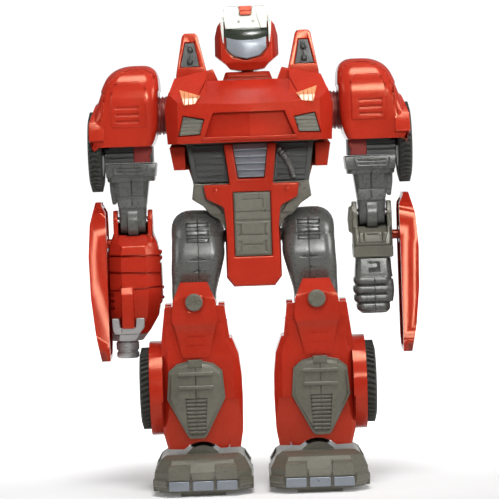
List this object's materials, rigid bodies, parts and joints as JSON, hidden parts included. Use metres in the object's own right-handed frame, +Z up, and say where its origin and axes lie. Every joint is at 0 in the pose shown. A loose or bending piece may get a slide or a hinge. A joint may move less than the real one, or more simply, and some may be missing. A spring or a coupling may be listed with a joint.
{
  "type": "transforming robot car",
  "caption": "Toy car folded into a standing robot: bonnet chest, wheels on arms and calves, doors on forearms, one fist and one cannon arm.",
  "frame": {"origin": "on the floor, midway between the outer sides and between the front and the back of the whole robot", "axes": "+Z up; the robot faces -Y; +X is towards its left arm, the one with the fist"},
  "size_m": [0.1632, 0.069, 0.24],
  "materials": {
    "red_plastic": "glossy moulded red",
    "dark_red_plastic": "glossy moulded dark red",
    "grey_plastic": "satin gunmetal grey",
    "olive_grey_plastic": "satin olive grey",
    "blue_grey_plastic": "satin blue grey",
    "black_plastic": "satin black",
    "black_rubber": "matt soft black",
    "silver_paint": "silver paint on plastic",
    "white_plastic": "glossy off-white",
    "amber_lens": "glossy amber",
    "smoked_lens": "glossy smoked dark green",
    "steel": "plain",
    "board_green": "solder-mask green",
    "cell_blue": "wrapped cell"
  },
  "bodies": {
    "torso": {"torso_frame": "grey_plastic", "back_shell": "red_plastic", "pelvis_cover": "red_plastic", "belly_vent": "blue_grey_plastic", "crotch_strip": "olive_grey_plastic", "battery_upper": "cell_blue", "battery_lower": "cell_blue", "battery_door": "red_plastic", "battery_screw": "steel", "circuit_board": "board_green", "speaker": "black_plastic", "fin_l": "red_plastic", "fin_r": "red_plastic"},
    "chest": {"chest_plate": "red_plastic", "headlight_l": "amber_lens", "headlight_r": "amber_lens"},
    "sound_button": {"sound_button": "silver_paint"},
    "roof": {"roof_panel": "red_plastic", "windscreen": "smoked_lens"},
    "neck": {"neck_block": "red_plastic"},
    "head": {"head_shell": "red_plastic", "helmet_cap": "white_plastic", "visor": "smoked_lens", "face_mask": "silver_paint"},
    "shoulder_l": {"shoulder_hub_l": "dark_red_plastic", "fender_l": "red_plastic", "wheel_block_l": "black_plastic", "upper_arm_l": "grey_plastic"},
    "front_wheel_l": {"front_tyre_l": "black_rubber", "front_rim_l": "silver_paint"},
    "forearm_l": {"forearm_l": "olive_grey_plastic", "elbow_pin_l": "steel"},
    "door_l": {"door_l": "red_plastic"},
    "fist_l": {"fist_l": "olive_grey_plastic"},
    "thigh_l": {"thigh_l": "grey_plastic"},
    "shin_l": {"shin_l": "red_plastic", "shin_cover_l": "olive_grey_plastic", "knee_button_l": "olive_grey_plastic", "knee_pin_l": "steel"},
    "rear_wheel_l": {"rear_tyre_l": "black_rubber", "rear_rim_l": "silver_paint"},
    "foot_l": {"foot_l": "olive_grey_plastic"},
    "shoulder_r": {"shoulder_hub_r": "dark_red_plastic", "fender_r": "red_plastic", "wheel_block_r": "black_plastic", "upper_arm_r": "grey_plastic"},
    "front_wheel_r": {"front_tyre_r": "black_rubber", "front_rim_r": "silver_paint"},
    "forearm_r": {"cannon_body": "red_plastic", "cannon_barrel": "silver_paint", "elbow_pin_r": "steel"},
    "door_r": {"door_r": "red_plastic"},
    "thigh_r": {"thigh_r": "grey_plastic"},
    "shin_r": {"shin_r": "red_plastic", "shin_cover_r": "olive_grey_plastic", "knee_button_r": "olive_grey_plastic", "knee_pin_r": "steel"},
    "rear_wheel_r": {"rear_tyre_r": "black_rubber", "rear_rim_r": "silver_paint"},
    "foot_r": {"foot_r": "olive_grey_plastic"}
  },
  "joints": [
    {"name": "chest_flip", "type": "hinge", "parent": "torso", "child": "chest", "pos_m": [0, -0.009, 0.2036], "axis": [-1, 0, 0], "range_deg": [0, 35]},
    {"name": "head_fold", "type": "hinge", "parent": "torso", "child": "neck", "pos_m": [0, 0.009, 0.206], "axis": [-1, 0, 0], "range_deg": [0, 90]},
    {"name": "head_turn", "type": "hinge", "parent": "neck", "child": "head", "pos_m": [0, 0, 0.206], "axis": [0, 0, 1], "range_deg": [-75, 75]},
    {"name": "roof_fold", "type": "hinge", "parent": "torso", "child": "roof", "pos_m": [0, 0.027, 0.14], "axis": [-1, 0, 0], "range_deg": [0, 110]},
    {"name": "sound_button_press", "type": "slide", "parent": "torso", "child": "sound_button", "axis": [0, -1, 0], "range_m": [0, 0.0015], "stiffness_N_per_m": 600},
    {"name": "shoulder_swing_l", "type": "hinge", "parent": "torso", "child": "shoulder_l", "pos_m": [0.0595, 0, 0.187], "axis": [-1, 0, 0], "range_deg": [-60, 180]},
    {"name": "front_wheel_spin_l", "type": "hinge", "parent": "shoulder_l", "child": "front_wheel_l", "pos_m": [0.0732, 0, 0.17], "axis": [1, 0, 0], "continuous": true},
    {"name": "elbow_bend_l", "type": "hinge", "parent": "shoulder_l", "child": "forearm_l", "pos_m": [0.0595, 0, 0.135], "axis": [-1, 0, 0], "range_deg": [0, 90]},
    {"name": "door_swivel_l", "type": "hinge", "parent": "forearm_l", "child": "door_l", "pos_m": [0.0732, 0, 0.124], "axis": [1, 0, 0], "range_deg": [-90, 0]},
    {"name": "wrist_turn_l", "type": "hinge", "parent": "forearm_l", "child": "fist_l", "pos_m": [0.0595, 0, 0.1127], "axis": [0, 0, 1], "range_deg": [-90, 90]},
    {"name": "hip_swing_l", "type": "hinge", "parent": "torso", "child": "thigh_l", "pos_m": [0.0276, 0, 0.126], "axis": [-1, 0, 0], "range_deg": [-30, 60]},
    {"name": "knee_bend_l", "type": "hinge", "parent": "thigh_l", "child": "shin_l", "pos_m": [0.0302, 0, 0.086], "axis": [1, 0, 0], "range_deg": [0, 60]},
    {"name": "rear_wheel_spin_l", "type": "hinge", "parent": "shin_l", "child": "rear_wheel_l", "pos_m": [0.0502, 0, 0.051], "axis": [1, 0, 0], "continuous": true},
    {"name": "foot_tilt_l", "type": "hinge", "parent": "shin_l", "child": "foot_l", "pos_m": [0.0286, 0.002, 0.027], "axis": [-1, 0, 0], "range_deg": [-30, 5]},
    {"name": "shoulder_swing_r", "type": "hinge", "parent": "torso", "child": "shoulder_r", "pos_m": [-0.0595, 0, 0.187], "axis": [-1, 0, 0], "range_deg": [-60, 180]},
    {"name": "front_wheel_spin_r", "type": "hinge", "parent": "shoulder_r", "child": "front_wheel_r", "pos_m": [-0.0732, 0, 0.17], "axis": [1, 0, 0], "continuous": true},
    {"name": "elbow_bend_r", "type": "hinge", "parent": "shoulder_r", "child": "forearm_r", "pos_m": [-0.0595, 0, 0.135], "axis": [-1, 0, 0], "range_deg": [0, 90]},
    {"name": "door_swivel_r", "type": "hinge", "parent": "forearm_r", "child": "door_r", "pos_m": [-0.0732, 0, 0.124], "axis": [1, 0, 0], "range_deg": [-90, 0]},
    {"name": "hip_swing_r", "type": "hinge", "parent": "torso", "child": "thigh_r", "pos_m": [-0.0276, 0, 0.126], "axis": [-1, 0, 0], "range_deg": [-30, 60]},
    {"name": "knee_bend_r", "type": "hinge", "parent": "thigh_r", "child": "shin_r", "pos_m": [-0.0302, 0, 0.086], "axis": [1, 0, 0], "range_deg": [0, 60]},
    {"name": "rear_wheel_spin_r", "type": "hinge", "parent": "shin_r", "child": "rear_wheel_r", "pos_m": [-0.0502, 0, 0.051], "axis": [1, 0, 0], "continuous": true},
    {"name": "foot_tilt_r", "type": "hinge", "parent": "shin_r", "child": "foot_r", "pos_m": [-0.0286, 0.002, 0.027], "axis": [-1, 0, 0], "range_deg": [-30, 5]}
  ]
}
